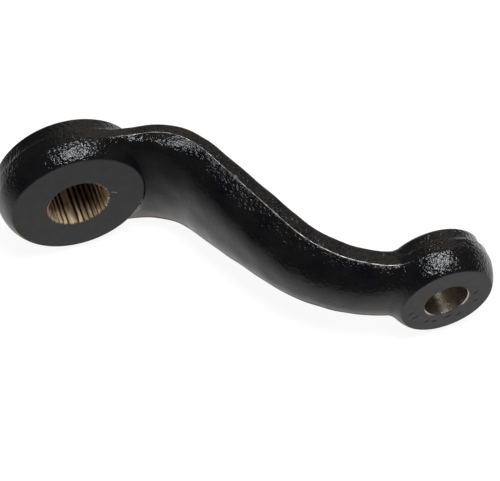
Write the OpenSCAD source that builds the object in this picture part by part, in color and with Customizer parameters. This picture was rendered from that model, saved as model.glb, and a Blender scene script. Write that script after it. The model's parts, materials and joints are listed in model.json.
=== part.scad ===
// Dropped pitman arm: one drop-forged steel lever, painted black. A serrated eye fits a steering gear's
// output shaft, a tapered eye takes a ball stud, and an S-shaped arm sets the two eyes at different levels.
// Millimetres. +X runs from the spline axis to the stud axis, -Y is the side of the two machined front
// faces, and the arm lies on its edge, symmetric about Z = 0. The origin is where the spline axis meets
// its front face.

/* [Layout] */
// Distance between the spline axis and the stud axis
centre_distance = 148; // [132:0.5:165]
// Offset of the stud eye's front face from the spline eye's front face
drop = 101; // [88:0.5:114]

/* [Spline eye] */
// Thickness of the spline eye along its axis
spline_eye_t = 24.6; // [22:0.1:30]
// Diameter of the machined front face
spline_face_d = 64.6; // [56:0.1:68]
// Widest diameter, at the parting line
spline_rim_d = 73; // [72.8:0.1:82]
// Diameter of the back edge of the rim
spline_edge_d = 72.6; // [70:0.1:72.8]
// Diameter of the raised boss on the back
spline_boss_d = 68.6; // [60:0.1:69.4]
// Distance from the front face to the parting line
spline_parting = 10; // [8.5:0.1:11]
// Width of the drafted band behind the parting line
spline_band = 6.2; // [5:0.1:9]

/* [Serrated bore] */
// Bore across the tops of the serrations, straight
spline_minor_d = 29.2; // [26:0.1:32]
// Depth of a serration groove at the front face
groove_depth = 1.25; // [0.8:0.05:1.6]
// Included angle of a groove
groove_angle = 45; // [40:1:55]
// Length over which a groove's diameter grows by 1
spline_taper = 16; // [12:1:24]
// Groove positions around the bore
groove_positions = 36; // [24:4:36]
// Evenly spaced positions left without a groove
blind_positions = 4; // [1, 2, 4]
// Angle of the first blind position from the arm's centre line
blind_clock = -10; // [-20:1:20]
// Lead-in at the back of the bore, beyond the bottoms of the grooves
spline_lead = 0.5; // [0.3:0.1:1]

/* [Stud eye] */
// Thickness of the stud eye along its axis
stud_eye_t = 24; // [22:0.1:30]
// Diameter of the machined front face
stud_face_d = 45; // [38:0.1:48]
// Widest diameter, at the parting line
stud_rim_d = 53.4; // [53.2:0.1:60]
// Diameter of the back edge of the rim
stud_edge_d = 53; // [50:0.1:53.2]
// Diameter of the raised boss on the back
stud_boss_d = 50; // [42:0.1:50.4]
// Distance from the front face to the parting line
stud_parting = 10.8; // [9:0.1:12]
// Width of the drafted band behind the parting line
stud_band = 5.7; // [4:0.1:8]
// Diameter of the tapered hole at the front face, its large end
stud_hole_d = 21.4; // [18:0.1:24]
// Length over which the tapered hole's diameter shrinks by 1
stud_taper = 8; // [6:0.5:12]
// Broken edge at both ends of the tapered hole
stud_chamfer = 0.5; // [0.2:0.1:1]

/* [Arm] */
// Width of the arm at the spline eye
root_width = 66; // [58:0.2:70]
// Width of the arm at the stud eye
tip_width = 37.6; // [28:0.2:42]
// Straight length between the spline axis and the first bend
root_flat = 26; // [22:0.5:34]
// Straight length between the second bend and the stud axis
tip_flat = 3; // [1:0.1:10]
// Radius of the first bend along the parting line
root_bend_r = 39; // [25:0.5:42]
// Radius of the second bend along the parting line
tip_bend_r = 69.5; // [50:0.5:76]
// Depth of the front half, parting line to crown, at the eyes
front_end_t = 8.1; // [6:0.1:9.5]
// Depth of the front half at the middle of the arm
front_mid_t = 14.4; // [11:0.1:16]
// Width of the back half's drafted band at the spline eye
root_band_t = 3.6; // [2.5:0.1:6]
// Width of the back half's drafted band at the stud eye
tip_band_t = 8.8; // [6:0.1:10]
// Height of the back's crown above its band at the spline eye
root_crown_t = 4.4; // [3:0.1:7]
// Height of the back's crown above its band at the stud eye
tip_crown_t = 3; // [1:0.1:4]
// Radius of the blend from the arm's side into the spline eye
root_blend_r = 25; // [15:1:40]
// Radius of the blend from the arm's side into the stud eye
tip_blend_r = 12; // [8:1:20]
// Draft angle of the arm's back band
draft = 6; // [3:0.5:10]
// Draft angle of the arm's front at the spline eye
root_draft = 18; // [8:0.5:25]
// Draft angle of the arm's front at the stud eye
tip_draft = 34; // [20:0.5:38]

/* [Hidden] */
$fn = 96;

paint = "#1a1a1c";

// How far cutters run past the faces they open
cut_over = 2;

// Forged front edge of an eye: part of an ellipse between these two angles, in this many straight steps
front_start = 15;
front_end = 72;
front_steps = 6;
// Ledge and fillet at the foot of a back boss
ledge_t = 0.7;
foot_t = 3;
foot_lean = 0.5;
// Spot face on a back boss: stock that it takes off, the edge that it breaks and its reach past the boss
back_stock = 1;
top_edge = 1.3;
spot_reach = 0.4;
spot_depth = 12;

// The arm's parting line lies this far behind the eyes' own, so that their edges cross cleanly
seam_shift = 0.15;

// Fullness of the arm's front, as a superellipse power
front_power = 2.5;
// Fullness of the arm's back crown, as a superellipse power
back_power = 2.1;

// The bends may fill this share of the room that the run and the fall leave them
bend_fill = 0.97;
// The loft starts and ends this share of an eye's radius away from its axis
loft_inset = 0.22;
// Shares of the arm's length between which its width changes
taper_from = 0.1;
taper_to = 0.92;
// Shares of the arm's length between which its front draft changes
draft_from = 0.3;
draft_to = 0.7;
// The front swells between these lengths from the spline axis and from the stud axis
swell_from = 20;
swell_to = 6;

// Loft resolution: stations along the arm, points on half of the front, points on half of the crown
stations = 46;
front_points = 8;
back_points = 4;

// Places on the two eyes
spline_rim_r = spline_rim_d / 2;
stud_rim_r = stud_rim_d / 2;
stud_front_y = -drop;

// Parting line of the arm: straight, bend, straight, opposite bend, straight
root_y = spline_parting + seam_shift;
tip_y = stud_front_y + stud_parting + seam_shift;
run = centre_distance - root_flat - tip_flat;
fall = root_y - tip_y;
// The two bends shrink together where the run and the fall leave no room for their full radii
bend_room = bend_fill * (run * run + fall * fall) / (2 * fall);
bend_share = min(1, bend_room / (root_bend_r + tip_bend_r));
r1 = root_bend_r * bend_share;
r2 = tip_bend_r * bend_share;
rise = fall - r1 - r2;
straight = sqrt(run * run + rise * rise - (r1 + r2) * (r1 + r2));
slope = atan2(r1 + r2, straight) + atan2(rise, run);
arc1 = r1 * slope * PI / 180;
arc2 = r2 * slope * PI / 180;
s_bend1 = root_flat;
s_line = s_bend1 + arc1;
s_bend2 = s_line + straight;
s_flat2 = s_bend2 + arc2;
path_length = s_flat2 + tip_flat;

// The loft starts and ends inside the eyes
s_first = loft_inset * spline_rim_r;
s_last = path_length - loft_inset * stud_rim_r;

// Point of the parting line and its downward angle, [x, y, angle], at a length s from the spline axis
function line_at(s) =
    s < s_bend1 ? [s, root_y, 0] :
    s < s_line ? bend1_at((s - s_bend1) / arc1 * slope) :
    s < s_bend2 ? bend1_at(slope) + [(s - s_line) * cos(slope), -(s - s_line) * sin(slope), 0] :
    s < s_flat2 ? bend2_at((s_flat2 - s) / arc2 * slope) :
    [centre_distance - path_length + s, tip_y, 0];
function bend1_at(a) = [root_flat + r1 * sin(a), root_y - r1 * (1 - cos(a)), a];
function bend2_at(a) = [centre_distance - tip_flat - r2 * sin(a), tip_y + r2 * (1 - cos(a)), a];

function ease(t) = let (u = max(0, min(1, t))) u * u * (3 - 2 * u);
function mix(a, b, t) = a + (b - a) * t;
function power(v, n) = pow(max(0, v), n);

// Half width of a side that runs straight at half_w and blends into a round eye, u from the eye's axis
function blend_w(u, half_w, eye_r, blend_r) =
    let (
        reach = sqrt(max(0, (eye_r + blend_r) ^ 2 - (half_w + blend_r) ^ 2)),
        touch = reach * eye_r / (eye_r + blend_r),
        v = max(u, touch)
    )
    v >= reach ? half_w : half_w + blend_r - sqrt(blend_r ^ 2 - (reach - v) ^ 2);

// Sizes of the arm's section at a length s
function plain_half_w(s) =
    mix(root_width, tip_width, ease((s / path_length - taper_from) / (taper_to - taper_from))) / 2;
function half_w(s) = max(
    blend_w(s, plain_half_w(s), spline_rim_r, root_blend_r),
    blend_w(path_length - s, plain_half_w(s), stud_rim_r, tip_blend_r)
);
function swell(s) = max(0, min(1, (s - swell_from) / (path_length - swell_from - swell_to)));
function front_t(s) = mix(front_end_t, front_mid_t, sin(180 * swell(s)));
function front_draft(s) =
    mix(root_draft, tip_draft, ease((s / path_length - draft_from) / (draft_to - draft_from)));
function band_t(s) = mix(root_band_t, tip_band_t, s / path_length);
function crown_t(s) = mix(root_crown_t, tip_crown_t, s / path_length);

// Half of the arm's section from the front crown over the parting line to the back crown: [across, back]
function half_section(s) =
    let (w = half_w(s), f = front_t(s), b = band_t(s), edge = w - b * tan(draft))
    concat(
        [for (i = [0 : front_points])
            let (a = 90 * i / front_points, d = f * power(cos(a), 2 / front_power))
            [(w - d * tan(front_draft(s))) * power(sin(a), 2 / front_power), -d]],
        [for (i = [0 : back_points])
            let (a = 90 * i / back_points)
            [edge * power(cos(a), 2 / back_power), b + crown_t(s) * power(sin(a), 2 / back_power)]]
    );

// Whole closed section as points in space
function section(s) =
    let (
        half = half_section(s),
        n = len(half),
        whole = concat(half, [for (i = [n - 2 : -1 : 1]) [-half[i][0], half[i][1]]]),
        p = line_at(s)
    )
    [for (q = whole) [p[0] + q[1] * sin(p[2]), p[1] + q[1] * cos(p[2]), q[0]]];

// Profile of a forged eye, [radius, depth from the front face]
function eye_profile(face_r, rim_r, edge_r, boss_r, parting, band, thick) =
    let (
        bulge = (rim_r - face_r) / (sin(front_end) - sin(front_start)),
        depth = parting / (cos(front_start) - cos(front_end)),
        ledge = parting + band
    )
    concat(
        [[0, 0]],
        [for (i = [0 : front_steps])
            let (a = mix(front_start, front_end, i / front_steps))
            [face_r + bulge * (sin(a) - sin(front_start)), depth * (cos(front_start) - cos(a))]],
        [
            [edge_r, ledge],
            [mix(edge_r, boss_r, 0.5), ledge + ledge_t],
            [boss_r + foot_lean, ledge + foot_t],
            [boss_r, thick + back_stock],
            [0, thick + back_stock]
        ]
    );

// Outline of the cutter that spot-faces the back of an eye, [radius, depth from the front face]
function spot_profile(boss_r, thick) = [
    [0, thick],
    [boss_r - top_edge, thick],
    [boss_r + spot_reach, thick - top_edge - spot_reach],
    [boss_r + spot_reach, thick + spot_depth],
    [0, thick + spot_depth]
];

// Turns a shape from +Z to +Y
module along_y() { rotate([-90, 0, 0]) children(); }

module spline_eye() {
    along_y() rotate_extrude() polygon(eye_profile(
        spline_face_d / 2, spline_rim_r, spline_edge_d / 2, spline_boss_d / 2,
        spline_parting, spline_band, spline_eye_t
    ));
}

module stud_eye() {
    translate([centre_distance, stud_front_y, 0]) along_y() rotate_extrude() polygon(eye_profile(
        stud_face_d / 2, stud_rim_r, stud_edge_d / 2, stud_boss_d / 2,
        stud_parting, stud_band, stud_eye_t
    ));
}

// The S-shaped arm, lofted through its sections
module arm() {
    rings = [for (i = [0 : stations]) section(mix(s_first, s_last, i / stations))];
    n = len(rings[0]);
    points = [for (ring = rings) each ring];
    sides = [for (i = [0 : stations - 1], k = [0 : n - 1])
        let (a = i * n + k, b = i * n + (k + 1) % n)
        each [[a, b, a + n], [b, b + n, a + n]]];
    first_cap = [for (k = [n - 1 : -1 : 0]) k];
    last_cap = [for (k = [0 : n - 1]) stations * n + k];
    polyhedron(points, concat(sides, [first_cap, last_cap]));
}

// One tapered V groove of the serrated bore, at an angle from +X towards +Z
module groove(angle) {
    tilt = atan(1 / (2 * spline_taper));
    inset = groove_depth + spline_eye_t / spline_taper;
    half = inset * tan(groove_angle / 2);
    rotate([0, 90 - angle, 0])
        translate([0, 0, spline_minor_d / 2 + groove_depth])
            rotate([tilt, 0, 0])
                translate([0, -cut_over, 0]) along_y()
                    linear_extrude(spline_eye_t + 2 * cut_over)
                        polygon([[-half, inset], [half, inset], [0, 0]]);
}

// Cutter for the serrated bore: straight core, grooves and a lead-in at the back
module serrated_bore() {
    per_blind = groove_positions / blind_positions;
    lead_r = spline_minor_d / 2 + groove_depth + spline_eye_t / (2 * spline_taper) + spline_lead;
    lead_depth = lead_r - spline_minor_d / 2 + spline_lead;
    translate([0, -cut_over, 0]) along_y()
        cylinder(d = spline_minor_d, h = spline_eye_t + 2 * cut_over);
    for (i = [0 : groove_positions - 1])
        if (i % per_blind != 0)
            groove(blind_clock + i * 360 / groove_positions);
    translate([0, spline_eye_t - lead_depth, 0]) along_y()
        cylinder(r1 = lead_r - lead_depth, r2 = lead_r + cut_over, h = lead_depth + cut_over);
}

// Cutters for the machined back faces, which also clear the arm where it rises past the stud eye
module spot_faces() {
    along_y() rotate_extrude() polygon(spot_profile(spline_boss_d / 2, spline_eye_t));
    translate([centre_distance, stud_front_y, 0]) along_y()
        rotate_extrude() polygon(spot_profile(stud_boss_d / 2, stud_eye_t));
}

// Cutter for the tapered hole, with both edges broken
module tapered_hole() {
    rate = 1 / (2 * stud_taper);
    front_r = stud_hole_d / 2;
    back_r = front_r - stud_eye_t * rate;
    translate([centre_distance, stud_front_y, 0]) along_y() {
        translate([0, 0, -cut_over])
            cylinder(r1 = front_r + cut_over * rate, r2 = back_r - cut_over * rate,
                     h = stud_eye_t + 2 * cut_over);
        translate([0, 0, -cut_over])
            cylinder(r1 = front_r + stud_chamfer + cut_over, r2 = front_r - cut_over,
                     h = 2 * cut_over + stud_chamfer);
        translate([0, 0, stud_eye_t - cut_over - stud_chamfer])
            cylinder(r1 = back_r - cut_over, r2 = back_r + stud_chamfer + cut_over,
                     h = 2 * cut_over + stud_chamfer);
    }
}

module pitman_arm() {
    color(paint) difference() {
        union() {
            arm();
            spline_eye();
            stud_eye();
        }
        spot_faces();
        serrated_bore();
        tapered_hole();
    }
}

pitman_arm();
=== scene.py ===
import json
import math

import bmesh
import bpy
import numpy as np
from mathutils import Matrix, Vector


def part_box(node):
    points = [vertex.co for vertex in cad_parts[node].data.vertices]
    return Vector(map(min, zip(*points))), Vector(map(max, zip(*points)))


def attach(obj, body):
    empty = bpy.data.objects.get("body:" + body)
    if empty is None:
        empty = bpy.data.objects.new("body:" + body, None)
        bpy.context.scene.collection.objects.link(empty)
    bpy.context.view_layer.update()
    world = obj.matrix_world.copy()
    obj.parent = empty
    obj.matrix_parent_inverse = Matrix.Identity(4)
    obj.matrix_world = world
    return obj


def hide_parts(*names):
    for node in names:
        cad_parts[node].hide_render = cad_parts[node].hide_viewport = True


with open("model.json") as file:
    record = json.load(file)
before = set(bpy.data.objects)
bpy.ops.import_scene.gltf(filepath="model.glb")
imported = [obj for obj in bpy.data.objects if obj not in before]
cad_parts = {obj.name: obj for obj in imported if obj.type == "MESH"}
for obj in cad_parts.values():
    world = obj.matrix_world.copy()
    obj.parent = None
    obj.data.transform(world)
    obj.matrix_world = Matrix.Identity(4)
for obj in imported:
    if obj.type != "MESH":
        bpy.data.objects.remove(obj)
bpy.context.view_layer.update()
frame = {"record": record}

# Sizes below are in millimetres, as in the CAD, and meshes are made in metres.
MM = 0.001

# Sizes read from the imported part
NODE = "pitman_arm"
mounts = {m["name"]: m for m in frame["record"]["mounts"]}
low, high = [np.array(v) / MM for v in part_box(NODE)]
stud_x, stud_y = [v / MM for v in mounts["stud_face"]["pos_m"][:2]]
bore_r = mounts["spline_bore"]["dims"]["r_mm"]
spline_rim_r = high[2]
spline_eye_t = high[1]
stud_rim_r = high[0] - stud_x
SPLINE_AT, STUD_AT = (0, 0), (stud_x, stud_y)

# Forged eyes: radius of the machined face, of the back edge and of the back boss, and depths from the face
SPLINE = dict(face=32.3, edge=36.3, boss=34.3, parting=10.0, band=6.2, thick=spline_eye_t)
STUD = dict(face=22.5, edge=26.5, boss=25.0, parting=10.8, band=5.7, thick=24.0)
# The front of an eye is part of an oval, between these angles
FRONT_START, FRONT_END = math.radians(22), math.radians(68)
FRONT_STEPS = 14
# The back edge is rounded by points that lie this far in from the edge and behind the ledge
EDGE_ROUND = ((-0.02, -0.5), (0.2, -0.05), (0.6, 0.15))
# A cove leads from the back edge to the boss
COVE_LIFT, COVE_DEPTH, COVE_STEPS = 0.2, 2.2, 6
BOSS_DRAFT = 0.2
# Metal that the machining takes off in front and behind; the bores' cutters reach past the eye by STOCK too
STOCK, BACK_STOCK = 3.0, 1.0
# An eye's section runs past its axis, so that the axis lies well inside it
PAST_AXIS = -30.0

# Serrated bore: every ninth groove is left out
GROOVES, BLIND_EVERY = 36, 9
BLIND_CLOCK = math.radians(-10)
GROOVE_DEPTH = 1.25
GROOVE_HALF_ANGLE = math.radians(22.5)
GROOVE_TIP_CUT, GROOVE_TIP_SHARE = 0.12, 0.09
LAND_STEPS = 6
SPLINE_TAPER = 16.0
SPLINE_LEAD = 0.5
BORE_EDGE_R, BORE_EDGE = 15.5, 0.7

# Tapered hole
HOLE_R = 10.7
HOLE_TAPER = 8.0
HOLE_CHAMFER = 0.5

# Machined faces: how far the cutters reach, and the broken edges
FACE_CUT, CUT_REACH, CUT_CLEAR = 0.9, 20.0, 1.0
TOP_EDGE, SPOT_REACH, SPOT_DEPTH = 1.3, 0.4, 12.0
EDGE_IN, EDGE_OUT = 0.2, 0.8
EDGE_AHEAD, EDGE_BEHIND = 0.05, 0.7
TURN_STEPS = 160

# Short nicks in the stud face: place from the hole's axis in X and Z, length and turn
NICKS = ((-17.4, -3.5, 5.0, 32), (-14.8, -7.6, 5.2, 33), (-8.3, -13.5, 4.6, 25), (-4.1, -14.9, 3.6, 15),
         (2.7, -13.8, 5.6, 25), (8.2, -14.0, 4.2, 34), (14.5, 1.1, 5.4, 46), (15.4, -5.5, 2.8, 25))
NICK_WIDTH, NICK_DEPTH, NICK_AHEAD = 1.0, 0.6, 0.06

# Arm: parting line path, widths and depths
ROOT_FLAT, TIP_FLAT = 26.0, 3.0
ROOT_BEND_R, TIP_BEND_R = 39.0, 69.5
ROOT_WIDTH, TIP_WIDTH = 66.0, 37.6
TAPER_FROM, TAPER_TO = 0.1, 0.92
FRONT_END_T, FRONT_MID_T = 8.1, 14.4
SWELL_FROM, SWELL_TO = 20.0, 6.0
ROOT_BAND, TIP_BAND = 3.6, 8.8
ROOT_CROWN, TIP_CROWN = 4.4, 3.0
DRAFT = math.tan(math.radians(6))
# Powers of the rounded section: 2 would be an ellipse, and more is squarer
FRONT_POWER, BACK_POWER = 2.5, 2.1
# Least values, here and below, keep divisions away from zero
LEAST_WIDTH = 1.0
# The arm starts and ends inside the eyes, at this share of their radius from the axis
ARM_INSIDE = 0.22

# How the arm's sides blend into the eyes and dip below their rims.
# The upper side meets the small eye more gently.
ROOT_BLEND_R, TIP_BLEND_R, UPPER_BLEND_R = 25.0, 12.0, 32.0
DIP, UPPER_DIP = 1.4, 0.3
DIP_NEAR, DIP_FAR, LEAST_RUN = 0.8, 1.1, 0.1
FILLET = 2.2

# Draft of the front's lower side in degrees, and the shares of the length between which it changes
ROOT_DRAFT, TIP_DRAFT = 16.0, 34.0
DRAFT_FROM, DRAFT_TO = 0.24, 0.7
# Draft of the front's upper side: at the neck, shoulder and slope, and where each gives way to the next
NECK_DRAFT, NECK_FROM, NECK_TO = 30.0, 24.0, 33.0
UPPER_DRAFT = 4.0
SLOPE_DRAFT, SLOPE_FROM, SLOPE_TO = 23.0, 45.0, 60.0
UPPER_FROM, UPPER_TO = 66.0, 125.0
# The upper side's shape takes over from the lower side's across this height
UPPER_OVER = 6.0
# A hollow in the arm's upper front beside the big eye
HOLLOW, HOLLOW_FROM, HOLLOW_TO = 2.2, 31.0, 50.0
HOLLOW_LOW, HOLLOW_HEIGHT = 22.0, 40.0
# Fuller upper corners: place, spread and amount, on the first bend and along the flatter slope
SHOULDER_AT, SHOULDER_SPREAD, SHOULDER_POWER = 41.0, 13.0, 1.7
FLAT_AT, FLAT_SPREAD, FLAT_POWER = 92.0, 28.0, 1.6
# The upper edge is drawn in beside the big eye and stands out a little past the first bend:
# place, spread and amount
WAIST = ((29.5, 9.0, -2.1), (54.0, 9.0, 0.8))

# Slow unevenness of a drop forging: direction, phase and height of waves of a few centimetres
WAVES = (((0.21, 0.13, 0.17), 0.4, 0.07), ((-0.12, 0.31, 0.23), 1.9, 0.05), ((0.37, -0.22, 0.29), 3.1, 0.04),
         ((0.15, 0.41, -0.38), 5.2, 0.03), ((-0.52, 0.18, 0.43), 0.9, 0.025))
# It dies out near the machined faces' edges, which stay round
CALM_FROM, CALM_REACH = 1.0, 6.0

# Flash line left where the dies met: a thin uneven bead along the arm's upper and lower sides
FLASH_STEP = 0.7
FLASH_HALF, FLASH_HEIGHT, FLASH_ROOT = 0.24, 0.2, 0.7
FLASH_FROM, FLASH_TO, FLASH_FADE = 16.0, 10.0, 16.0
FLASH_FOOT, FLASH_SINK = 0.13, 0.15
# Its section as shares of its half width and of its height
FLASH_SECTION = ((-1.0, 0), (-0.55, 0.8), (0.0, 1.0), (0.55, 0.8), (1.0, 0))
FLASH_ROOT_SHARE = 0.5
# Its unevenness: height and rate of each wave, and the middle one's fixed phase
FLASH_WAVES, FLASH_SHIFT = ((0.22, 0.9), (0.16, 2.3), (0.15, 0.31)), 1.1
FLASH_UNEVEN_WIDTH = 0.5
PATH_ROUNDS, NORMAL_ROUNDS = 6, 3
# One burr stands up from the upper bead
BURR_AT, BURR_SPREAD, BURR_HEIGHT, BURR_WIDEN = 85.0, 1.5, 1.3, 3

# Mesh of the forging: cell size, coarse first pass, margin round the part, and steps of the surface search
VOXEL = 0.8
COARSE = 4
COARSE_REACH = 1.8
MARGIN = 6.0
LEVEL_STEP, LEAST_SLOPE = 0.05, 0.02
GRADIENT_STEP, LEAST_GRADIENT = 0.04, 0.05
SURFACE_ROUNDS = 2
RELAX_ROUNDS, RELAX_SHARE = 3, 0.6
MARCH_NEAR, MARCH_FAR, MARCH_ROUNDS = 5.0, 50.0, 30
# Points closer than this, in metres, are one point
SAME_SPOT = 1e-7
SHARP_ANGLE = math.radians(32)
FLAT_NORMAL = 0.9


def mix(a, b, t):
    return a + (b - a) * t


def ease(t):
    u = np.clip(t, 0, 1)
    return u * u * (3 - 2 * u)


def way(value, start, end):
    """Eased share of the way from one value to another."""
    return ease((value - start) / (end - start))


def bell(s, at, spread):
    """One at a place along the arm, falling to zero on both sides."""
    return np.exp(-((s - at) / spread) ** 2)


# Parting line path in the XY plane: straight, bend, straight, opposite bend, straight
root_y = SPLINE["parting"]
tip_y = stud_y + STUD["parting"]
run = stud_x - ROOT_FLAT - TIP_FLAT
fall = root_y - tip_y
rise = fall - ROOT_BEND_R - TIP_BEND_R
straight = math.sqrt(run * run + rise * rise - (ROOT_BEND_R + TIP_BEND_R) ** 2)
slope = math.atan2(ROOT_BEND_R + TIP_BEND_R, straight) + math.atan2(rise, run)
s_bend1 = ROOT_FLAT
s_line = s_bend1 + ROOT_BEND_R * slope
s_bend2 = s_line + straight
s_flat2 = s_bend2 + TIP_BEND_R * slope
path_length = s_flat2 + TIP_FLAT
s_first = ARM_INSIDE * spline_rim_r
s_last = path_length - ARM_INSIDE * stud_rim_r
centre1 = np.array([ROOT_FLAT, root_y - ROOT_BEND_R])
centre2 = np.array([stud_x - TIP_FLAT, tip_y + TIP_BEND_R])
line_dir = np.array([math.cos(slope), -math.sin(slope)])
line_back = np.array([math.sin(slope), math.cos(slope)])
line_start = centre1 + ROOT_BEND_R * line_back


def path_coords(x, y):
    """Length along the parting line and signed distance behind it, for points of the XY plane."""
    best = np.full(x.shape, np.inf)
    s_out = np.zeros(x.shape)
    t_out = np.zeros(x.shape)

    def offer(s, t, miss):
        d = t * t + miss * miss
        take = d < best
        best[take] = d[take]
        s_out[take] = s[take]
        t_out[take] = t[take]

    s = np.minimum(x, s_bend1)
    offer(s, y - root_y, x - s)
    a = np.arctan2(x - centre1[0], y - centre1[1])
    c = np.clip(a, 0, slope)
    rad = np.hypot(x - centre1[0], y - centre1[1])
    offer(s_bend1 + ROOT_BEND_R * c, rad * np.cos(a - c) - ROOT_BEND_R, rad * np.sin(a - c))
    px, py = x - line_start[0], y - line_start[1]
    along = px * line_dir[0] + py * line_dir[1]
    c = np.clip(along, 0, straight)
    offer(s_line + c, px * line_back[0] + py * line_back[1], along - c)
    a = np.arctan2(centre2[0] - x, centre2[1] - y)
    c = np.clip(a, 0, slope)
    rad = np.hypot(x - centre2[0], y - centre2[1])
    offer(s_flat2 - TIP_BEND_R * c, TIP_BEND_R - rad * np.cos(a - c), rad * np.sin(a - c))
    s = np.maximum(x - stud_x + path_length, s_flat2)
    offer(s, y - tip_y, x - stud_x + path_length - s)
    return s_out, t_out


def path_point(s):
    """Point of the parting line at a length s, in the XY plane."""
    if s < s_bend1:
        return np.array([s, root_y])
    if s < s_line:
        a = (s - s_bend1) / ROOT_BEND_R
        return centre1 + ROOT_BEND_R * np.array([math.sin(a), math.cos(a)])
    if s < s_bend2:
        return line_start + (s - s_line) * line_dir
    if s < s_flat2:
        a = (s_flat2 - s) / TIP_BEND_R
        return centre2 - TIP_BEND_R * np.array([math.sin(a), math.cos(a)])
    return np.array([stud_x - path_length + s, tip_y])


def blend_width(u, half_w, eye_r, blend_r, sink):
    """Half width of a side that blends into a round eye, u away from the eye's axis."""
    reach = np.sqrt(np.maximum(0, (eye_r + blend_r) ** 2 - (half_w + blend_r) ** 2))
    touch = reach * eye_r / (eye_r + blend_r)
    v = np.clip(u, touch, reach)
    from_touch = (u - touch * DIP_NEAR) / np.maximum(reach * DIP_FAR - touch * DIP_NEAR, LEAST_RUN)
    dip = sink * (1 - ease(from_touch))
    return half_w + blend_r - np.sqrt(blend_r ** 2 - (reach - v) ** 2) - dip


def half_width(s, tip_blend_r, tip_sink):
    """Half width of the arm at a length s, blended into both eyes."""
    plain = mix(ROOT_WIDTH, TIP_WIDTH, way(s / path_length, TAPER_FROM, TAPER_TO)) / 2
    near_spline = blend_width(s, plain, spline_rim_r, ROOT_BLEND_R, DIP)
    near_stud = blend_width(path_length - s, plain, stud_rim_r, tip_blend_r, tip_sink)
    return np.where(s < path_length / 2, near_spline, near_stud)


def parting_width(upper, s):
    """Half width at the parting line; upper is 1 on the upper side and 0 on the lower side."""
    w = mix(half_width(s, TIP_BLEND_R, DIP), half_width(s, UPPER_BLEND_R, UPPER_DIP), upper)
    return w + upper * sum(amount * bell(s, at, spread) for at, spread, amount in WAIST)


def front_depth(z, s):
    """Depth of the arm in front of the parting line."""
    swell = np.clip((s - SWELL_FROM) / (path_length - SWELL_FROM - SWELL_TO), 0, 1)
    depth = mix(FRONT_END_T, FRONT_MID_T, np.sin(math.pi * swell))
    hollow = ease((z + HOLLOW_LOW) / HOLLOW_HEIGHT) * (1 - way(s, HOLLOW_FROM, HOLLOW_TO))
    return depth - HOLLOW * hollow


def front_lean(upper, s, share):
    """Draft of the front's sides in degrees."""
    lower_lean = mix(ROOT_DRAFT, TIP_DRAFT, way(share, DRAFT_FROM, DRAFT_TO))
    upper_lean = mix(UPPER_DRAFT, SLOPE_DRAFT, way(s, SLOPE_FROM, SLOPE_TO))
    upper_lean = mix(upper_lean, TIP_DRAFT, way(s, UPPER_FROM, UPPER_TO))
    upper_lean = mix(NECK_DRAFT, upper_lean, way(s, NECK_FROM, NECK_TO))
    return mix(lower_lean, upper_lean, upper)


def oval(a, b, power):
    """Level of a rounded section: zero on its outline, negative inside."""
    return (a ** power + b ** power) ** (1 / power) - 1


def arm_level(z, s, t):
    """Level function of the arm's section: zero on the surface, negative inside."""
    share = np.clip(s / path_length, 0, 1)
    upper = ease(z / UPPER_OVER + 0.5)
    w = parting_width(upper, s)
    band = mix(ROOT_BAND, TIP_BAND, share)
    crown = mix(ROOT_CROWN, TIP_CROWN, share)
    side = np.abs(z)
    ahead = np.maximum(-t, 0)
    across = side / np.maximum(w - ahead * np.tan(np.radians(front_lean(upper, s, share))), LEAST_WIDTH)
    fuller = SHOULDER_POWER * bell(s, SHOULDER_AT, SHOULDER_SPREAD)
    fuller = fuller + FLAT_POWER * bell(s, FLAT_AT, FLAT_SPREAD)
    front_level = oval(across, ahead / front_depth(z, s), FRONT_POWER + upper * fuller)
    band_level = side / (w - np.clip(t, 0, band) * DRAFT) - 1
    back_level = oval(side / (w - band * DRAFT), np.maximum(t - band, 0) / crown, BACK_POWER)
    return np.where(t < 0, front_level, np.where(t < band, band_level, back_level))


def arm_distance(x, y, z):
    """Level of the arm divided by its slope, close to a true distance near the surface."""
    s, t = path_coords(x, y)
    step = LEVEL_STEP
    level = arm_level(z, s, t)
    dz = (arm_level(z + step, s, t) - arm_level(z - step, s, t)) / (2 * step)
    dt = (arm_level(z, s, t + step) - arm_level(z, s, t - step)) / (2 * step)
    past_end = np.maximum(s_first - s, s - s_last)
    return np.maximum(level / np.maximum(np.hypot(dz, dt), LEAST_SLOPE), past_end)


def eye_profile(eye, rim_r):
    """Section of a forged eye before machining, [radius, depth behind the face], closed past the axis."""
    bulge = (rim_r - eye["face"]) / (math.sin(FRONT_END) - math.sin(FRONT_START))
    depth = eye["parting"] / (math.cos(FRONT_START) - math.cos(FRONT_END))
    lean = (bulge * math.cos(FRONT_START)) / (depth * math.sin(FRONT_START))
    ledge = eye["parting"] + eye["band"]
    back = eye["thick"] + BACK_STOCK
    points = [(PAST_AXIS, -STOCK), (eye["face"] - STOCK * lean, -STOCK)]
    for i in range(FRONT_STEPS + 1):
        a = mix(FRONT_START, FRONT_END, i / FRONT_STEPS)
        points.append((eye["face"] + bulge * (math.sin(a) - math.sin(FRONT_START)),
                       depth * (math.cos(FRONT_START) - math.cos(a))))
    points += [(eye["edge"] - inward, ledge + behind) for inward, behind in EDGE_ROUND]
    cove = eye["edge"] - eye["boss"] - EDGE_ROUND[-1][0]
    for i in range(COVE_STEPS + 1):
        a = math.pi / 2 * i / COVE_STEPS
        points.append((eye["boss"] + cove * (1 - math.sin(a)),
                       ledge + COVE_LIFT + COVE_DEPTH * (1 - math.cos(a))))
    points += [(eye["boss"] - BOSS_DRAFT, back), (PAST_AXIS, back)]
    return np.array(points)


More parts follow.
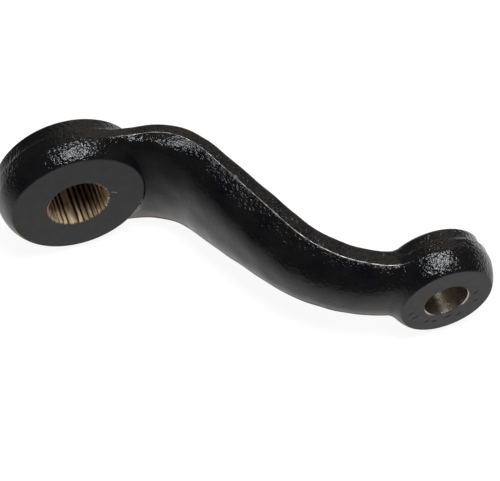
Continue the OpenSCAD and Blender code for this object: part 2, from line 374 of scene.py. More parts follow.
def polygon_distance(r, y, outline):
    """Signed distance to a closed outline, negative inside."""
    best = np.full(r.shape, np.inf)
    inside = np.zeros(r.shape, bool)
    for (ax, ay), (bx, by) in zip(outline, np.roll(outline, -1, axis=0)):
        ex, ey = bx - ax, by - ay
        wx, wy = r - ax, y - ay
        u = np.clip((wx * ex + wy * ey) / (ex * ex + ey * ey), 0, 1)
        best = np.minimum(best, (wx - u * ex) ** 2 + (wy - u * ey) ** 2)
        crosses = (ay <= y) != (by <= y)
        if ey != 0:
            inside ^= crosses & (r < ax + wy * ex / ey)
    return np.where(inside, -1, 1) * np.sqrt(best)


spline_outline = eye_profile(SPLINE, spline_rim_r)
stud_outline = eye_profile(STUD, stud_rim_r)


def join(a, b, k):
    """Union with a fillet."""
    h = np.maximum(k - np.abs(a - b), 0) / k
    return np.minimum(a, b) - h * h * k / 4


def waviness(x, y, z):
    """Height of the forging's slow unevenness."""
    return sum(h * np.sin(k[0] * x + k[1] * y + k[2] * z + p) for k, p, h in WAVES)


def forging(points):
    """Distance from the unmachined forging."""
    x, y, z = points.T
    d = arm_distance(x, y, z)
    spline_r = np.hypot(x, z)
    stud_r = np.hypot(x - stud_x, z)
    d = join(d, polygon_distance(spline_r, y, spline_outline), FILLET)
    d = join(d, polygon_distance(stud_r, y - stud_y, stud_outline), FILLET)
    from_spline_edge = np.hypot(spline_r - SPLINE["face"], y)
    from_stud_edge = np.hypot(stud_r - STUD["face"], y - stud_y)
    from_edge = np.minimum(from_spline_edge, from_stud_edge)
    return d + waviness(x, y, z) * ease((from_edge - CALM_FROM) / CALM_REACH)


def gradient(points):
    """Direction in which the distance from the forging grows."""
    g = np.empty_like(points)
    for i in range(3):
        e = np.zeros(3)
        e[i] = GRADIENT_STEP
        g[:, i] = (forging(points + e) - forging(points - e)) / (2 * GRADIENT_STEP)
    return g


def to_surface(points, rounds):
    """Moves points along the gradient onto the forging's surface."""
    for _ in range(rounds):
        g = gradient(points)
        points = points - (forging(points) / np.maximum((g * g).sum(1), LEAST_GRADIENT))[:, None] * g
    return points


def sample_grid():
    """Values of forging() on a fine grid, exact near the surface and coarse elsewhere."""
    first = low - MARGIN
    block = VOXEL * COARSE
    cells = np.ceil((high + MARGIN - first) / block).astype(int)
    axes = [first[i] + block * (np.arange(cells[i]) + 0.5 - 0.5 / COARSE) for i in range(3)]
    p = np.stack(np.meshgrid(*axes, indexing="ij"), -1)
    values = forging(p.reshape(-1, 3)).reshape(cells)
    for axis in range(3):
        values = np.repeat(values, COARSE, axis=axis)
    near = np.abs(values) < block * COARSE_REACH
    values[near] = forging(first + np.argwhere(near) * VOXEL)
    return values, first


def surface_net(values, first):
    """Quad mesh on the zero level of a grid of values."""
    inside = values < 0
    n = np.array(values.shape)
    count = np.zeros(n - 1, np.int8)
    corners = [(i, j, k) for i in (0, 1) for j in (0, 1) for k in (0, 1)]
    for i, j, k in corners:
        count += inside[i:n[0] - 1 + i, j:n[1] - 1 + j, k:n[2] - 1 + k]
    mixed = (count > 0) & (count < len(corners))
    cells = np.argwhere(mixed)
    index = np.full(n - 1, -1, np.int64)
    index[mixed] = np.arange(len(cells))
    total = np.zeros((len(cells), 3))
    hits = np.zeros(len(cells))
    for a in corners:
        for axis in range(3):
            if a[axis]:
                continue
            b = list(a)
            b[axis] = 1
            va = values[tuple((cells + a).T)]
            vb = values[tuple((cells + b).T)]
            cross = (va < 0) != (vb < 0)
            t = np.where(cross, va / np.where(cross, va - vb, 1), 0)
            p = cells + np.array(a, float)
            p[:, axis] += t
            total[cross] += p[cross]
            hits += cross
    points = first + VOXEL * total / hits[:, None]
    quads = []
    for axis in range(3):
        u, v = (axis + 1) % 3, (axis + 2) % 3
        lo = [slice(None)] * 3
        hi = [slice(None)] * 3
        lo[axis], hi[axis] = slice(0, n[axis] - 1), slice(1, n[axis])
        change = inside[tuple(lo)] != inside[tuple(hi)]
        at = np.argwhere(change)
        outward = inside[tuple(lo)][change]
        around = []
        for du, dv in ((-1, -1), (0, -1), (0, 0), (-1, 0)):
            q = at.copy()
            q[:, u] += du
            q[:, v] += dv
            around.append(index[tuple(q.T)])
        quad = np.stack(around, 1)
        quad[~outward] = quad[~outward][:, ::-1]
        quads.append(quad)
    return points, np.concatenate(quads)


def relax(points, quads):
    """Evens out the quads, and puts the points back on the surface."""
    edges = np.concatenate([quads[:, [0, 1]], quads[:, [1, 2]], quads[:, [2, 3]], quads[:, [3, 0]]])
    for _ in range(RELAX_ROUNDS):
        total = np.zeros_like(points)
        hits = np.zeros(len(points))
        np.add.at(total, edges[:, 0], points[edges[:, 1]])
        np.add.at(hits, edges[:, 0], 1)
        points = to_surface(mix(points, total / np.maximum(hits, 1)[:, None], RELAX_SHARE), 1)
    return points


def new_object(name, points, faces, material, smooth=True):
    """Object from points in millimetres and faces."""
    mesh = bpy.data.meshes.new(name)
    mesh.from_pydata([tuple(p) for p in np.asarray(points) * MM], [], [tuple(f) for f in faces])
    mesh.materials.append(material)
    if smooth:
        mesh.polygons.foreach_set("use_smooth", [True] * len(mesh.polygons))
    mesh.update()
    obj = bpy.data.objects.new(name, mesh)
    bpy.context.scene.collection.objects.link(obj)
    return obj


def boolean(obj, tool, operation):
    """Applies one boolean, with the tool's material on the faces that it cuts, and removes the tool."""
    bm = bmesh.new()
    bm.from_mesh(tool.data)
    if bm.calc_volume(signed=True) < 0:
        bmesh.ops.reverse_faces(bm, faces=bm.faces)
        bm.to_mesh(tool.data)
    bm.free()
    mod = obj.modifiers.new("cut", "BOOLEAN")
    mod.operation = operation
    mod.object = tool
    mod.solver = "MANIFOLD"
    mod.material_mode = "TRANSFER"
    bpy.context.view_layer.update()
    done = bpy.data.meshes.new_from_object(obj.evaluated_get(bpy.context.evaluated_depsgraph_get()))
    obj.modifiers.clear()
    old = obj.data
    obj.data = done
    bpy.data.meshes.remove(old)
    bpy.data.objects.remove(tool)


# Turned solids and cutters

def turned(centre, r, y, step):
    """Point at a radius and a depth, on one of the steps round a line along Y."""
    a = 2 * math.pi * step / TURN_STEPS
    return (centre[0] + r * math.cos(a), centre[1] + y, r * math.sin(a))


def lathe(name, centre, outline, material):
    """Closed solid turned about a line along Y; outline is [radius, y], front axis to back axis."""
    points = [(centre[0], centre[1] + outline[0][1], 0)]
    for r, y in outline[1:-1]:
        points += [turned(centre, r, y, k) for k in range(TURN_STEPS)]
    points.append((centre[0], centre[1] + outline[-1][1], 0))
    last = len(points) - 1
    rings = len(outline) - 2
    last_ring = 1 + (rings - 1) * TURN_STEPS
    faces = []
    for k in range(TURN_STEPS):
        m = (k + 1) % TURN_STEPS
        faces.append((0, 1 + k, 1 + m))
        faces.append((last, last_ring + m, last_ring + k))
        for i in range(rings - 1):
            a, b = 1 + i * TURN_STEPS, 1 + (i + 1) * TURN_STEPS
            faces.append((a + k, b + k, b + m, a + m))
    return new_object(name, points, faces, material)


def hoop(name, centre, outline, material):
    """Closed ring about a line along Y; outline is a closed [radius, y] section."""
    m = len(outline)
    points = []
    faces = []
    for k in range(TURN_STEPS):
        points += [turned(centre, r, y, k) for r, y in outline]
        b = (k + 1) % TURN_STEPS
        faces += [(k * m + i, k * m + (i + 1) % m, b * m + (i + 1) % m, b * m + i) for i in range(m)]
    return new_object(name, points, faces, material)


def face_cutter(name, centre, eye, material):
    """Cutter for the machined front of an eye."""
    r = eye["face"] + FACE_CUT
    return lathe(name, centre, [(0, -CUT_REACH), (r, -CUT_REACH), (r, 0), (0, 0)], material)


def spot_cutter(name, centre, eye, material):
    """Cutter for the machined back of an eye, with the boss's edge broken."""
    r = eye["boss"] + SPOT_REACH
    outline = [(0, 0), (eye["boss"] - TOP_EDGE, 0), (r, -TOP_EDGE - SPOT_REACH), (r, SPOT_DEPTH),
               (0, SPOT_DEPTH)]
    return lathe(name, (centre[0], centre[1] + eye["thick"]), outline, material)


def edge_cutter(name, centre, eye, material):
    """Cutter for the broken edge of a machined front."""
    outer = eye["face"] + EDGE_OUT
    outline = [(eye["face"] - EDGE_IN, -EDGE_AHEAD), (outer, -EDGE_AHEAD), (outer, EDGE_BEHIND)]
    return hoop(name, centre, outline, material)


def serration_ring(y):
    """Points round the serrated bore at one depth."""
    apex = bore_r + GROOVE_DEPTH + y / (2 * SPLINE_TAPER)
    half = math.atan((apex - bore_r) * math.tan(GROOVE_HALF_ANGLE) / bore_r)
    pitch = 2 * math.pi / GROOVES
    tip_r, tip_half = apex - GROOVE_TIP_CUT, half * GROOVE_TIP_SHARE
    points = []
    for i in range(GROOVES):
        a = BLIND_CLOCK + i * pitch
        if i % BLIND_EVERY == 0:
            points += [(bore_r, a + (-0.5 + k / LAND_STEPS) * pitch) for k in range(LAND_STEPS)]
        else:
            points += [(bore_r, a - 0.5 * pitch), (bore_r, a - half), (tip_r, a - tip_half),
                       (tip_r, a + tip_half), (bore_r, a + half), (bore_r, a + 0.5 * (half + 0.5 * pitch))]
    return [(r * math.cos(a), y, r * math.sin(a)) for r, a in points]


def serration_cutter(name, material):
    """Straight bore with tapered V grooves, as one closed solid."""
    front, back = serration_ring(-STOCK), serration_ring(spline_eye_t + STOCK)
    n = len(front)
    points = front + back + [(0, -STOCK, 0), (0, spline_eye_t + STOCK, 0)]
    faces = []
    for k in range(n):
        m = (k + 1) % n
        faces.append((k, n + k, n + m, m))
        faces.append((2 * n, k, m))
        faces.append((2 * n + 1, n + m, n + k))
    return new_object(name, points, faces, material, smooth=False)


def bore_edge_cutter(name, material):
    """Chamfer at the front of the serrated bore."""
    outer = BORE_EDGE_R + CUT_CLEAR * (BORE_EDGE_R - bore_r) / BORE_EDGE
    outline = [(0, -CUT_CLEAR), (outer, -CUT_CLEAR), (bore_r, BORE_EDGE), (0, BORE_EDGE)]
    return lathe(name, SPLINE_AT, outline, material)


def lead_cutter(name, material):
    """Cone at the back of the serrated bore that leads the shaft in."""
    lead_r = bore_r + GROOVE_DEPTH + spline_eye_t / (2 * SPLINE_TAPER) + SPLINE_LEAD
    inner = bore_r - CUT_CLEAR
    deep = -lead_r + inner
    outline = [(0, deep), (inner, deep), (lead_r + STOCK, STOCK), (0, STOCK)]
    return lathe(name, (0, spline_eye_t), outline, material)


def hole_cutter(name, material):
    """Tapered hole with both its edges broken."""
    thick = STUD["thick"]
    back_r = HOLE_R - thick / (2 * HOLE_TAPER)
    narrowing = HOLE_CHAMFER / (2 * HOLE_TAPER)
    outline = [(0, -STOCK), (HOLE_R + HOLE_CHAMFER + STOCK, -STOCK), (HOLE_R - narrowing, HOLE_CHAMFER),
               (back_r + narrowing, thick - HOLE_CHAMFER), (back_r + HOLE_CHAMFER + STOCK, thick + STOCK),
               (0, thick + STOCK)]
    return lathe(name, STUD_AT, outline, material)


def nick_cutter(name, material):
    """Thin boat-shaped cutters, one for each nick, in one mesh."""
    points = []
    faces = []
    for x, z, length, turn in NICKS:
        along = np.array([math.cos(math.radians(turn)), 0, math.sin(math.radians(turn))])
        across = np.array([-along[2], 0, along[0]])
        centre = np.array([stud_x + x, stud_y, z])
        out = np.array([0, -NICK_AHEAD, 0])
        first = len(points)
        points += [centre - along * length / 2 + out, centre + across * NICK_WIDTH / 2 + out,
                   centre + along * length / 2 + out, centre - across * NICK_WIDTH / 2 + out,
                   centre + np.array([0, NICK_DEPTH, 0])]
        faces += [(first, first + 1, first + 2, first + 3)]
        faces += [(first + (k + 1) % 4, first + k, first + 4) for k in range(4)]
    return new_object(name, points, faces, material, smooth=False)


# Flash line

def march(starts, directions):
    """First surface point from the inside along each direction."""
    a = np.full(len(starts), MARCH_NEAR)
    b = np.full(len(starts), MARCH_FAR)
    for _ in range(MARCH_ROUNDS):
        m = (a + b) / 2
        inside = forging(starts + directions * m[:, None]) < 0
        a = np.where(inside, m, a)
        b = np.where(inside, b, m)
    return starts + directions * b[:, None]


def flash_path():
    """Points of the parting line on the arm's upper side, from one eye to the other."""
    s = np.arange(FLASH_FROM, path_length - FLASH_TO, FLASH_STEP)
    flat = np.array([path_point(v) for v in s])
    starts = np.column_stack([flat, np.zeros(len(s))])
    up = np.tile([0.0, 0.0, 1.0], (len(s), 1))
    return march(starts, up)


def smooth_line(v, rounds):
    """Evens out a row of points or directions, with its ends kept."""
    for _ in range(rounds):
        v[1:-1] = (v[:-2] + 2 * v[1:-1] + v[2:]) / 4
    return v


def flash_bead(name, material, mirror, phase, burr):
    """Thin uneven bead along one side, sinking into the forging at both ends."""
    centre = to_surface(smooth_line(flash_path(), PATH_ROUNDS), SURFACE_ROUNDS) * np.array([1, 1, mirror])
    n = smooth_line(gradient(centre), NORMAL_ROUNDS)
    n /= np.linalg.norm(n, axis=1)[:, None]
    along = np.gradient(centre, axis=0)
    across = np.cross(n, along)
    across /= np.linalg.norm(across, axis=1)[:, None]
    k = np.arange(len(centre)) * FLASH_STEP
    shifts = (phase, FLASH_SHIFT, phase)
    uneven = sum((h * np.sin(k * rate + shift) for (h, rate), shift in zip(FLASH_WAVES, shifts)), 1)
    fade = ease(np.minimum(k, k[-1] - k) / FLASH_FADE)
    nub = burr * bell(FLASH_FROM + k, BURR_AT, BURR_SPREAD)
    tall = FLASH_HEIGHT * uneven + BURR_HEIGHT * nub
    half = FLASH_HALF * mix(1, uneven, FLASH_UNEVEN_WIDTH) * (1 + BURR_WIDEN * nub)
    sink = (1 - fade) * (FLASH_HEIGHT + FLASH_SINK)
    rows = []
    for side, up in FLASH_SECTION:
        lift = (tall * up if up else -FLASH_FOOT) - sink
        rows.append(centre + across * (half * side)[:, None] + n * lift[:, None])
    for side in (FLASH_ROOT_SHARE, -FLASH_ROOT_SHARE):
        rows.append(centre + across * (half * side)[:, None] - n * (FLASH_ROOT + sink)[:, None])
    m = len(rows)
    count = len(centre)
    points = np.stack(rows, 1).reshape(-1, 3)
    faces = []
    for i in range(count - 1):
        for q in range(m):
            p = (q + 1) % m
            faces.append((i * m + q, i * m + p, (i + 1) * m + p, (i + 1) * m + q))
    faces.append(tuple(range(m - 1, -1, -1)))
    faces.append(tuple((count - 1) * m + q for q in range(m)))
    return new_object(name, points, faces, material)


# Materials

# The Mix node's colour sockets share their names with others, so they go by number
MIX_A, MIX_B, MIX_RESULT = 6, 7, 2
# Heights between which the paint's reflection changes, above and below the middle plane
SHINE_REACH = 20.0


class Finish:
    """A material, with short calls for the nodes that feed its shader."""

    def __init__(self, name, color, roughness, metallic=0.0, specular=0.5):
        self.material = bpy.data.materials.new(name)
        self.material.use_nodes = True
        self.nodes = self.material.node_tree.nodes
        self.links = self.material.node_tree.links
        self.inputs = self.nodes["Principled BSDF"].inputs
        self.inputs["Base Color"].default_value = (*color, 1)
        self.inputs["Roughness"].default_value = roughness
        self.inputs["Metallic"].default_value = metallic
        self.inputs["Specular IOR Level"].default_value = specular
        self.coords = self.nodes.new("ShaderNodeTexCoord").outputs["Object"]

    def feed(self, socket, value):
        """Links a value to one of the shader's sockets."""
        self.links.new(value, self.inputs[socket])

    def noise(self, scale, detail, rough, coords=None):
        node = self.nodes.new("ShaderNodeTexNoise")
        node.inputs["Scale"].default_value = scale
        node.inputs["Detail"].default_value = detail
        node.inputs["Roughness"].default_value = rough
        self.links.new(self.coords if coords is None else coords, node.inputs["Vector"])
        return node.outputs["Fac"]

    def ramp(self, value, stops):
        """Colours by value; stops are [place, colour]."""
        node = self.nodes.new("ShaderNodeValToRGB")
        elements = node.color_ramp.elements
        while len(elements) > 1:
            elements.remove(elements[-1])
        elements[0].position, elements[0].color = stops[0][0], (*stops[0][1], 1)
        for place, color in stops[1:]:
            elements.new(place).color = (*color, 1)
        self.links.new(value, node.inputs["Fac"])
        return node.outputs["Color"]

    def greys(self, value, *stops):
        """Greys by value; stops are [place, grey]."""
        return self.ramp(value, [(place, (grey, grey, grey)) for place, grey in stops])

    def between(self, value, start, end, to_start=0.0, to_end=1.0):
        """Value brought from one range to another, and held at its ends."""
        node = self.nodes.new("ShaderNodeMapRange")
        node.inputs["From Min"].default_value = start
        node.inputs["From Max"].default_value = end
        node.inputs["To Min"].default_value = to_start
        node.inputs["To Max"].default_value = to_end
        self.links.new(value, node.inputs["Value"])
        return node.outputs["Result"]

    def mixer(self, a, b):
        """Mix node over two colours."""
        node = self.nodes.new("ShaderNodeMix")
        node.data_type = "RGBA"
        self.links.new(a, node.inputs[MIX_A])
        self.links.new(b, node.inputs[MIX_B])
        return node

    def blend(self, share, a, b):
        """The first colour where share is 0, and the second where it is 1."""
        node = self.mixer(a, b)
        self.links.new(share, node.inputs["Factor"])
        return node.outputs[MIX_RESULT]

    def tint(self, a, b):
        """One colour times another."""
        node = self.mixer(a, b)
        node.blend_type = "MULTIPLY"
        node.inputs["Factor"].default_value = 1.0
        return node.outputs[MIX_RESULT]

    def combine(self, operation, a, b):
        """Sum or product of two values."""
        node = self.nodes.new("ShaderNodeMath")
        node.operation = operation
        self.links.new(a, node.inputs[0])
        self.links.new(b, node.inputs[1])
        return node.outputs[0]

    def parts(self, vector):
        """X, Y and Z of a vector."""
        node = self.nodes.new("ShaderNodeSeparateXYZ")
        self.links.new(vector, node.inputs[0])
        return node.outputs

    def length(self, vector):
        node = self.nodes.new("ShaderNodeVectorMath")
        node.operation = "LENGTH"
        self.links.new(vector, node.inputs[0])
        return node.outputs["Value"]

    def axis_radius(self, vector):
        """Distance from the line along Y through the vector's origin."""
        node = self.nodes.new("ShaderNodeVectorMath")
        node.operation = "MULTIPLY"
        node.inputs[1].default_value = (1, 0, 1)
        self.links.new(vector, node.inputs[0])
        return self.length(node.outputs[0])

    def mapped(self, scale, turn=0.0, place=(0, 0, 0), kind="POINT"):
        """Object coordinates scaled, turned about Y and moved."""
        node = self.nodes.new("ShaderNodeMapping")
        node.vector_type = kind
        node.inputs["Location"].default_value = place
        node.inputs["Rotation"].default_value = (0, turn, 0)
        node.inputs["Scale"].default_value = scale
        self.links.new(self.coords, node.inputs["Vector"])
        return node.outputs["Vector"]

    def bump(self, height, distance, strength, under=None):
        node = self.nodes.new("ShaderNodeBump")
        if isinstance(strength, float):
            node.inputs["Strength"].default_value = strength
        else:
            self.links.new(strength, node.inputs["Strength"])
        node.inputs["Distance"].default_value = distance
        self.links.new(height, node.inputs["Height"])
        if under is not None:
            self.links.new(under, node.inputs["Normal"])
        return node.outputs["Normal"]


def paint_color(f, normal, facing):
    """Near black, with rust in a thin strip along the front's lower edge."""
    color = f.ramp(f.noise(90, 4, 0.6), [(0.3, (0.0035, 0.0035, 0.005)), (0.7, (0.009, 0.0082, 0.0075))])
    rusty = f.ramp(f.noise(220, 3, 0.6), [(0.38, (0.012, 0.009, 0.008)), (0.62, (0.10, 0.04, 0.03))])
    strip = f.greys(facing, (0.20, 0.0), (0.26, 1.0), (0.31, 1.0), (0.37, 0.0))
    frontal = f.between(normal["Y"], -0.25, -0.5)
    return f.blend(strip, color, f.blend(frontal, color, rusty))


def paint_roughness(f, normal, facing):
    """Wet gloss on the surfaces that look up, softer in front and dullest behind."""
    patches = f.noise(160, 3, 0.6)
    crest = f.greys(patches, (0.3, 0.04), (0.75, 0.09))
    front = f.greys(patches, (0.3, 0.27), (0.75, 0.35))
    back = f.greys(patches, (0.3, 0.32), (0.75, 0.42))
    ahead = f.blend(f.between(facing, 0.72, 0.80), front, crest)
    return f.blend(f.between(normal["Y"], 0.35, 0.75), ahead, back)


def paint_shine(f, normal, facing):
    """Strength of the paint's reflection: it falls with height in front, most beside the big eye."""
    place = f.parts(f.coords)
    height = f.between(place["Z"], -SHINE_REACH * MM, SHINE_REACH * MM)
    length = f.between(place["X"], low[0] * MM, high[0] * MM)
    near_eye = f.greys(height, (0.0, 0.44), (0.25, 0.36), (0.5, 0.14), (0.7, 0.07), (0.9, 0.04))
    further = f.greys(height, (0.0, 0.38), (0.6, 0.36), (0.8, 0.28), (1.0, 0.2))
    along = f.greys(length, (0.01, 1.0), (0.09, 0.0), (0.36, 0.0), (0.55, 1.0))
    front = f.blend(along, near_eye, further)
    crest = f.greys(facing, (0.74, 0.2), (0.86, 0.33))
    slope_crest = f.greys(facing, (0.74, 0.08), (0.86, 0.13))
    on_slope = f.greys(length, (0.36, 0.0), (0.46, 1.0), (0.73, 1.0), (0.79, 0.0))
    forward = f.between(normal["Y"], 0.0, -0.15)
    crest = f.blend(forward, crest, f.blend(on_slope, crest, slope_crest))
    gloss = f.blend(f.between(facing, 0.72, 0.82), front, crest)
    lower_edge = f.greys(facing, (0.30, 0.02), (0.39, 1.0))
    return f.combine("MULTIPLY", gloss, lower_edge)


def paint_grain(f, facing):
    """Grain of the forging under the paint, strongest on the surfaces that look up."""
    grit = f.greys(facing, (0.52, 0.2), (0.70, 0.35), (0.80, 1.0))
    grain = f.bump(f.noise(620, 2, 0.6), 0.55 * MM, grit)
    return f.bump(f.noise(260, 2, 0.5), 0.2 * MM, 0.3, grain)


def black_paint():
    """Gloss black paint on the forging; facing is 0 where it looks down and 1 where it looks up."""
    f = Finish("forged_black_paint", (0.006, 0.006, 0.007), 0.2, specular=0.15)
    normal = f.parts(f.nodes.new("ShaderNodeNewGeometry").outputs["Normal"])
    facing = f.between(normal["Z"], -1.0, 1.0)
    f.feed("Base Color", paint_color(f, normal, facing))
    f.feed("Roughness", paint_roughness(f, normal, facing))
    f.feed("Specular IOR Level", paint_shine(f, normal, facing))
    f.feed("Normal", paint_grain(f, facing))
    return f.material


# Scrape on the spline face: centre in X and Z, turn, half length and half width
SCRAPE = (17.4, 2.9, 25, 2.2, 0.4)


def machined_face(name, tone, scrape=None):
    """Thin grey paint on a machined face; tone scales its colour."""
    f = Finish(name, (0.02, 0.02, 0.02), 0.5, specular=0.2)
    color = f.ramp(f.noise(140, 4, 0.6), [(0.3, (0.014 * tone, 0.014 * tone, 0.0138 * tone)),
                                          (0.7, (0.024 * tone, 0.0235 * tone, 0.0225 * tone))])
    if scrape:
        x, z, turn, long, wide = scrape
        spot = f.mapped((long * MM, 1, wide * MM), math.radians(turn), (x * MM, 0, z * MM), "TEXTURE")
        inside = f.between(f.axis_radius(spot), 1.0, 0.6)
        bare = f.ramp(f.noise(900, 2, 0.6), [(0.4, (0.10, 0.05, 0.04)), (0.6, (0.50, 0.28, 0.22))])
        color = f.blend(inside, color, bare)
    f.feed("Base Color", color)
    lines = f.noise(1300, 2, 0.6, f.mapped((0.08, 1, 1.6), 0.12))
    f.feed("Normal", f.bump(lines, 0.06 * MM, 0.7))
    return f.material


def rusty_serration():
    """Bare serrations: pale rubbed tops and dark rusty grooves, streaked, with painted shade that darkens
    them deeper in the bore.
    """
    f = Finish("rusty_serration", (0.1, 0.06, 0.03), 0.5, metallic=0.2)
    streaks = f.noise(480, 4, 0.7, f.mapped((1, 0.16, 1)))
    tops = f.ramp(streaks, [(0.32, (0.16, 0.085, 0.04)), (0.5, (0.40, 0.29, 0.17)),
                            (0.66, (0.66, 0.56, 0.40))])
    grooves = f.ramp(streaks, [(0.3, (0.03, 0.013, 0.007)), (0.7, (0.15, 0.075, 0.035))])
    uneven = f.between(streaks, 0.3, 0.7, 0.5 * MM, -0.3 * MM)
    reach = f.combine("ADD", f.axis_radius(f.coords), uneven)
    deep = f.between(reach, (bore_r + 0.1) * MM, (bore_r + 0.8) * MM)
    # Painted shade: the colour darkens from the front of the bore inwards
    inward = f.between(f.parts(f.coords)["Y"], 3 * MM, 16 * MM)
    painted_bore_shade = f.ramp(inward, [(0.0, (1.0, 1.0, 1.0)), (1.0, (0.30, 0.20, 0.15))])
    f.feed("Base Color", f.tint(f.blend(deep, tops, grooves), painted_bore_shade))
    f.feed("Normal", f.bump(f.noise(1500, 3, 0.6), 0.1 * MM, 0.6))
    return f.material


def tapered_steel_with_painted_highlight():
    """Reamed hole: bare steel gone brown, with a painted highlight as a brighter strip along it, and rings
    that draw out its highlight.
    """
    f = Finish("tapered_hole_steel_painted_highlight", (0.2, 0.17, 0.14), 0.2, metallic=0.9)
    color = f.ramp(f.noise(200, 4, 0.6), [(0.3, (0.23, 0.195, 0.16)), (0.7, (0.44, 0.40, 0.35))])
    # Painted highlight: a pale strip on the hole's walls, in a band across X
    bright = f.ramp(f.noise(900, 3, 0.6), [(0.35, (0.55, 0.5, 0.43)), (0.65, (0.95, 0.92, 0.86))])
    across = f.between(f.parts(f.coords)["X"], (stud_x - 3.5) * MM, (stud_x + 4.5) * MM)
    strip = f.greys(across, (0.2, 0.0), (0.5, 1.0), (0.62, 0.7), (0.85, 0.0))
    f.feed("Base Color", f.blend(strip, color, bright))
    rings = f.noise(2600, 2, 0.6, f.mapped((0.02, 1, 0.02)))
    f.feed("Normal", f.bump(rings, 0.12 * MM, 1.0))
    return f.material


def flash_edge(name, dull, bright):
    """Bead of flash, rubbed bright in places; on the upper bead the bright colour is also a painted
    highlight along the ridge.
    """
    f = Finish(name, bright, 0.35, metallic=0.6)
    f.feed("Base Color", f.ramp(f.noise(500, 3, 0.6), [(0.35, dull), (0.6, bright)]))
    return f.material


def worn_edge():
    """Broken edge of a machined face: paint rubbed through to pale metal low down."""
    f = Finish("worn_face_edge", (0.02, 0.02, 0.02), 0.35, specular=0.3)
    low_down = f.between(f.parts(f.coords)["Z"], -4 * MM, -16 * MM)
    wear = f.noise(300, 3, 0.6)
    rubbed = f.ramp(wear, [(0.34, (0.03, 0.028, 0.025)), (0.52, (0.50, 0.42, 0.31))])
    whole = f.ramp(wear, [(0.4, (0.008, 0.008, 0.008)), (0.7, (0.02, 0.019, 0.018))])
    f.feed("Base Color", f.blend(low_down, whole, rubbed))
    return f.material


# Radii in metres of the floor's painted pool of light: white within the first and dim beyond the second
LIGHT_POOL_RADIUS, LIGHT_POOL_FADE_RADIUS = 0.21, 0.5
FLOOR_GLOW = 0.93


def floor_with_painted_light_pool():
    """Sheet with a painted pool of light: it glows white near the part and dims away from it, so that the
    shadow stays pale.
    """
    f = Finish("floor_with_painted_light_pool", (0.14, 0.14, 0.14), 0.9, specular=0.0)
    reach = f.length(f.coords)
    f.feed("Base Color", f.greys(reach, (LIGHT_POOL_RADIUS, 0.14), (LIGHT_POOL_FADE_RADIUS, 0.1)))
    f.feed("Emission Color", f.greys(reach, (LIGHT_POOL_RADIUS, 1.0), (LIGHT_POOL_FADE_RADIUS, 0.12)))
    f.inputs["Emission Strength"].default_value = FLOOR_GLOW
    return f.material


paint = black_paint()
face_finish = machined_face("painted_spline_face", 0.88, SCRAPE)
stud_finish = machined_face("painted_stud_face", 1.5)
back_finish = machined_face("painted_back_face", 0.88)
rust = rusty_serration()
steel = tapered_steel_with_painted_highlight()
# The upper bead's pale colour is partly rubbed metal and partly a painted highlight on the ridge
upper_flash = flash_edge("worn_flash_edge_and_painted_highlight", (0.09, 0.088, 0.084), (0.30, 0.28, 0.25))
lower_flash = flash_edge("rusty_flash_edge", (0.012, 0.008, 0.007), (0.11, 0.035, 0.025))
edge_finish = worn_edge()

# Forging, with its flash
values, first = sample_grid()
points, quads = surface_net(values, first)
points = relax(to_surface(points, SURFACE_ROUNDS), quads)
body = new_object("pitman_arm_body", points, quads, paint)
boolean(body, flash_bead("upper_flash", upper_flash, mirror=1, phase=0.0, burr=1.0), "UNION")
boolean(body, flash_bead("lower_flash", lower_flash, mirror=-1, phase=2.0, burr=0.0), "UNION")

# Machining: front faces, back faces, broken edges, serrated bore, tapered hole and nicks
cutters = [
    face_cutter("spline_face_cut", SPLINE_AT, SPLINE, face_finish),
    face_cutter("stud_face_cut", STUD_AT, STUD, stud_finish),
    spot_cutter("spline_back_cut", SPLINE_AT, SPLINE, back_finish),
    spot_cutter("stud_back_cut", STUD_AT, STUD, back_finish),
    edge_cutter("spline_edge_cut", SPLINE_AT, SPLINE, edge_finish),
    edge_cutter("stud_edge_cut", STUD_AT, STUD, edge_finish),
    serration_cutter("serration_cutter", rust),
    bore_edge_cutter("bore_edge_cut", rust),
    lead_cutter("lead_cut", rust),
    hole_cutter("hole_cut", steel),
    nick_cutter("nick_cutter", paint),
]
for cutter in cutters:
    boolean(body, cutter, "DIFFERENCE")

# The cuts leave points on one spot with slivers of no area between them: they are joined
joined = bmesh.new()
joined.from_mesh(body.data)
bmesh.ops.remove_doubles(joined, verts=joined.verts, dist=SAME_SPOT)
bmesh.ops.dissolve_degenerate(joined, edges=joined.edges, dist=SAME_SPOT)
joined.to_mesh(body.data)
joined.free()

body.data.polygons.foreach_set("use_smooth", [True] * len(body.data.polygons))
body.data.set_sharp_from_angle(angle=SHARP_ANGLE)
# The machined fronts are flat: their slivers get the true direction, not one worked out from thin triangles
corner = np.empty(len(body.data.loops) * 3, np.float32)
body.data.corner_normals.foreach_get("vector", corner)
corner = corner.reshape(-1, 3)
for poly in body.data.polygons:
    finish = body.data.materials[poly.material_index]
    if finish in (face_finish, stud_finish) and abs(poly.normal.y) > FLAT_NORMAL:
        corner[poly.loop_start:poly.loop_start + poly.loop_total] = (0, math.copysign(1, poly.normal.y), 0)
body.data.normals_split_custom_set(corner.tolist())

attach(body, "root")
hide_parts(NODE)

# Floor: the arm lies on the rims of its two eyes
FLOOR_HALF = 3.0
FLOOR_GAP = 0.3
tilt = math.asin((spline_rim_r - stud_rim_r) / stud_x)
floor_up = Vector((-math.sin(tilt), 0, math.cos(tilt)))
middle = Vector((stud_x / 2 * MM, stud_y / 2 * MM, 0))
floor_mesh = bpy.data.meshes.new("floor")
floor_corners = [(x * FLOOR_HALF, y * FLOOR_HALF, 0) for x, y in ((-1, -1), (1, -1), (1, 1), (-1, 1))]
floor_mesh.from_pydata(floor_corners, [], [(0, 1, 2, 3)])
floor_mesh.materials.append(floor_with_painted_light_pool())
floor = bpy.data.objects.new("floor", floor_mesh)
floor.rotation_euler = (0, -tilt, 0)
floor.location = middle - floor_up * (middle.dot(floor_up) + (spline_rim_r + FLOOR_GAP) * MM)
bpy.context.scene.collection.objects.link(floor)

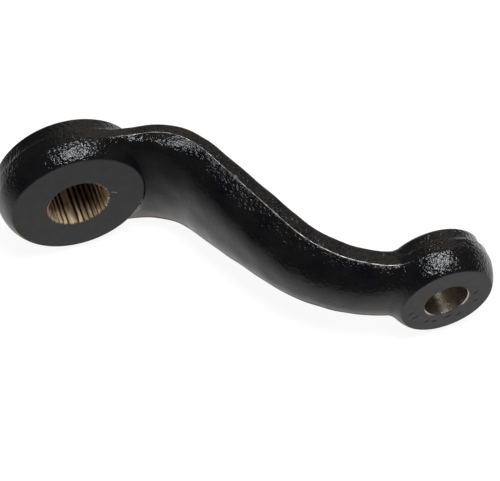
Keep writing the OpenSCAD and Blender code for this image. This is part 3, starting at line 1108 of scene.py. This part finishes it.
# Light: a soft cool panel overhead, a wide dim warm one behind, and a dim room
LIGHT_DIR = Vector((0.06, -0.12, 1.0)).normalized()
LIGHT_DISTANCE = 1.1
LIGHT_SIZE = (0.5, 0.5)
LIGHT_POWER = 15.4
LIGHT_COLOR = (0.93, 0.97, 1.0)
WALL_DIR = Vector((0.42, 0.72, 0.55)).normalized()
WALL_DISTANCE = 1.2
WALL_SIZE = (1.2, 0.9)
WALL_POWER = 2.1
WALL_COLOR = (1.0, 0.92, 0.82)
ROOM_COLOR = (0.06, 0.057, 0.053, 1)


def panel(name, direction, distance, size, power, color):
    """Area light that looks at the middle of the part."""
    light = bpy.data.lights.new(name, "AREA")
    light.shape = "RECTANGLE"
    light.size, light.size_y = size
    light.energy = power
    light.color = color
    lamp = bpy.data.objects.new(name, light)
    lamp.location = middle + direction * distance
    lamp.rotation_euler = direction.to_track_quat("Z", "Y").to_euler()
    bpy.context.scene.collection.objects.link(lamp)


panel("overhead", LIGHT_DIR, LIGHT_DISTANCE, LIGHT_SIZE, LIGHT_POWER, LIGHT_COLOR)
panel("back_wall", WALL_DIR, WALL_DISTANCE, WALL_SIZE, WALL_POWER, WALL_COLOR)

world = bpy.data.worlds.new("room")
world.use_nodes = True
world.node_tree.nodes["Background"].inputs["Color"].default_value = ROOM_COLOR
bpy.context.scene.world = world

# Camera, from the fit of the part to the photo: angles in radians, lengths in metres
AZIMUTH = -0.40185
ELEVATION = 0.94780
ROLL = 0.09636
DISTANCE = 0.93474
TARGET = Vector((0.078, -0.045, 0))
PAN = (0.0070432, -0.0002425)
FOCAL_PIXELS = 1989.05
IMAGE_WIDTH = 500
back = Vector((math.sin(AZIMUTH) * math.cos(ELEVATION), -math.cos(AZIMUTH) * math.cos(ELEVATION),
               math.sin(ELEVATION)))
level_right = Vector((math.cos(AZIMUTH), math.sin(AZIMUTH), 0))
level_up = back.cross(level_right)
right = level_right * math.cos(ROLL) + level_up * math.sin(ROLL)
up = level_up * math.cos(ROLL) - level_right * math.sin(ROLL)
place = TARGET + back * DISTANCE - right * PAN[0] - up * PAN[1]
camera = bpy.data.cameras.new("camera")
camera.sensor_width = 36.0
camera.sensor_fit = "HORIZONTAL"
camera.lens = FOCAL_PIXELS / IMAGE_WIDTH * camera.sensor_width
viewer = bpy.data.objects.new("camera", camera)
viewer.matrix_world = Matrix((
    (right.x, up.x, back.x, place.x),
    (right.y, up.y, back.y, place.y),
    (right.z, up.z, back.z, place.z),
    (0, 0, 0, 1)))
bpy.context.scene.collection.objects.link(viewer)
bpy.context.scene.camera = viewer

bpy.context.scene.view_settings.view_transform = "Standard"
